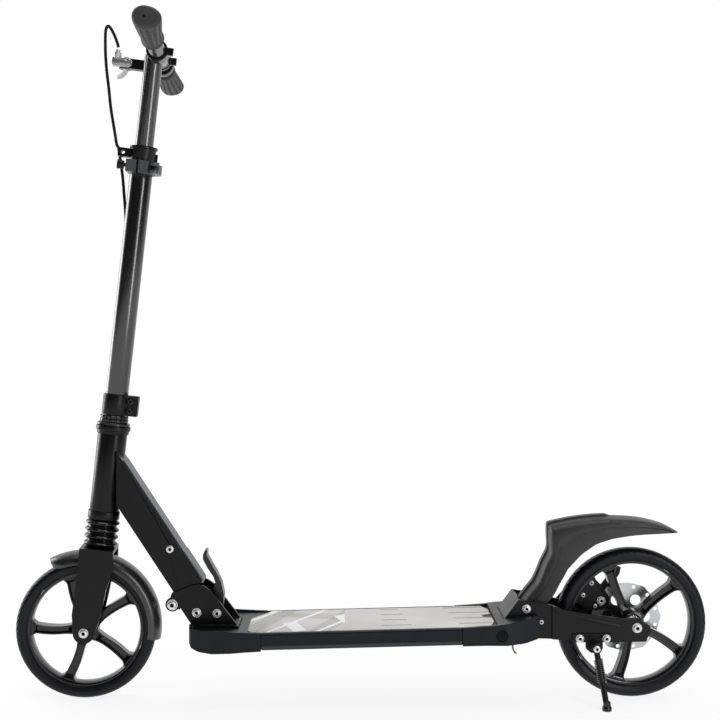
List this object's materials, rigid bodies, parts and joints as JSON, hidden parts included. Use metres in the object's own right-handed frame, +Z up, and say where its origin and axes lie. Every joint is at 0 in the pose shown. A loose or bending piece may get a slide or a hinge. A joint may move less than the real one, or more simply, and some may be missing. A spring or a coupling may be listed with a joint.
{
  "type": "folding kick scooter",
  "caption": "Folding kick scooter with large spoked wheels, sprung fork, height-adjustable T-bar, hand disc brake, foot brake fender and kickstand.",
  "frame": {"origin": "on the ground, midway between the two axles", "axes": "-X to the front, +Y to the rider's right, +Z up"},
  "size_m": [0.9482, 0.4407, 0.9368],
  "materials": {
    "alloy_black": "satin black paint",
    "steel_black": "satin black powder coat",
    "deck_paint": "satin blue-black paint",
    "deck_print": null,
    "cap_plastic": "semi-gloss moulded plastic",
    "fender_plastic": "fine textured moulded plastic",
    "rim_plastic": "satin moulded plastic",
    "tyre_rubber": "matt polyurethane with a fine tread",
    "grip_rubber": "soft matt rubber",
    "soft_rubber": "matt black rubber",
    "zinc": "bright zinc plated steel",
    "bearing_steel": "ground steel",
    "disc_steel": "ground stainless steel",
    "lever_alloy": "polished cast aluminium",
    "grey_plastic": "grey moulded plastic",
    "black_plastic": "black moulded plastic",
    "pad_compound": "pressed friction compound",
    "cable_black": "smooth black cable housing"
  },
  "bodies": {
    "deck": {"deck_extrusion": "deck_paint", "deck_mat": "deck_print", "front_cap": "cap_plastic", "rear_cap": "cap_plastic", "fold_bracket": "steel_black", "fold_pin": "zinc", "lock_pin": "zinc", "rear_bracket": "steel_black", "rear_axle": "zinc", "rear_spacers": "zinc", "caliper_body": "alloy_black", "brake_pads": "pad_compound", "kickstand_bracket": "steel_black", "deck_bolts": "zinc", "cable_deck": "cable_black", "deck_hook": "zinc"},
    "front_frame": {"frame_tube": "steel_black", "tube_cover": "grey_plastic", "headset_cups": "steel_black", "headset_bearings": "bearing_steel", "tube_bolt": "zinc", "cable_frame": "cable_black"},
    "fold_lever": {"fold_lever": "alloy_black"},
    "stem": {"steerer_tube": "bearing_steel", "headset_nuts": "steel_black", "stem_clamp": "alloy_black", "clamp_bolts": "zinc", "stem_tube": "alloy_black", "height_bush": "black_plastic", "height_collar": "grey_plastic", "top_collar": "black_plastic", "quick_release_bolt": "black_plastic", "cable_stem": "cable_black"},
    "quick_release": {"quick_release_lever": "grey_plastic"},
    "fork": {"fork": "steel_black", "front_axle": "zinc", "front_spacers": "zinc", "front_fender": "fender_plastic", "bellows": "soft_rubber", "suspension_spring": "bearing_steel"},
    "front_wheel": {"front_rim": "rim_plastic", "front_tyre": "tyre_rubber", "front_bearings": "bearing_steel"},
    "rear_wheel": {"rear_rim": "rim_plastic", "rear_tyre": "tyre_rubber", "rear_bearings": "bearing_steel", "brake_disc": "disc_steel"},
    "handlebar": {"handlebar": "alloy_black", "grip_left": "grip_rubber", "grip_right": "grip_rubber", "bar_fittings": "black_plastic", "lever_bracket": "alloy_black", "cable_adjuster": "lever_alloy", "cable_bar": "cable_black"},
    "brake_lever": {"brake_lever": "lever_alloy"},
    "caliper_arm": {"caliper_arm": "alloy_black"},
    "kickstand": {"kickstand_leg": "steel_black", "kickstand_foot": "soft_rubber"},
    "rear_fender": {"rear_fender": "fender_plastic"}
  },
  "joints": [
    {"name": "fold", "type": "hinge", "parent": "deck", "child": "front_frame", "pos_m": [-0.221, 0, 0.121], "axis": [0, 1, 0], "range_deg": [0, 75], "deforming": ["cable_frame"]},
    {"name": "fold_lever_swing", "type": "hinge", "parent": "deck", "child": "fold_lever", "pos_m": [-0.1935, 0, 0.12], "axis": [0, 1, 0], "range_deg": [0, 83]},
    {"name": "steering", "type": "hinge", "parent": "front_frame", "child": "stem", "pos_m": [-0.34653, 0, 0.29812], "axis": [0.1118, 0, 0.9937], "range_deg": [-49, 41], "deforming": ["cable_stem"]},
    {"name": "suspension", "type": "slide", "parent": "stem", "child": "fork", "axis": [0.1118, 0, 0.9937], "range_m": [0, 0.014], "stiffness_N_per_m": 12000, "springref_m": -0.012, "deforming": ["bellows", "suspension_spring"]},
    {"name": "front_wheel_spin", "type": "hinge", "parent": "fork", "child": "front_wheel", "pos_m": [-0.3755, -0.00043, 0.09499], "axis": [-0.069, 0.9976, 0.008], "continuous": true},
    {"name": "rear_wheel_spin", "type": "hinge", "parent": "deck", "child": "rear_wheel", "pos_m": [0.375, 0, 0.1025], "axis": [0, 1, 0], "continuous": true},
    {"name": "bar_height", "type": "slide", "parent": "stem", "child": "handlebar", "axis": [0.1118, 0, 0.9937], "range_m": [-0.1, 0.06], "deforming": ["cable_bar"]},
    {"name": "quick_release_swing", "type": "hinge", "parent": "stem", "child": "quick_release", "pos_m": [-0.27786, -0.02262, 0.72386], "axis": [-0.1118, 0, -0.9937], "range_deg": [0, 110]},
    {"name": "brake_pull", "type": "hinge", "parent": "handlebar", "child": "brake_lever", "pos_m": [-0.3313, 0.06465, 0.88268], "axis": [-0.1118, 0, -0.9937], "range_deg": [0, 20], "stiffness_Nm_per_rad": 1, "springref_deg": -14.32},
    {"name": "caliper_swing", "type": "hinge", "parent": "deck", "child": "caliper_arm", "pos_m": [0.339, 0.045, 0.1265], "axis": [0, -1, 0], "range_deg": [0, 12]},
    {"name": "kickstand_swing", "type": "hinge", "parent": "deck", "child": "kickstand", "pos_m": [0.316, -0.055, 0.08], "axis": [0, -1, 0], "range_deg": [0, 95]},
    {"name": "foot_brake", "type": "hinge", "parent": "deck", "child": "rear_fender", "pos_m": [0.226, 0, 0.128], "axis": [0, 1, 0], "range_deg": [0, 8], "stiffness_Nm_per_rad": 25, "springref_deg": -6.88}
  ],
  "couplings": [
    {"joint": "fold_lever_swing", "follows": "fold", "ratio": 1.1},
    {"joint": "caliper_swing", "follows": "brake_pull", "ratio": 0.5}
  ]
}
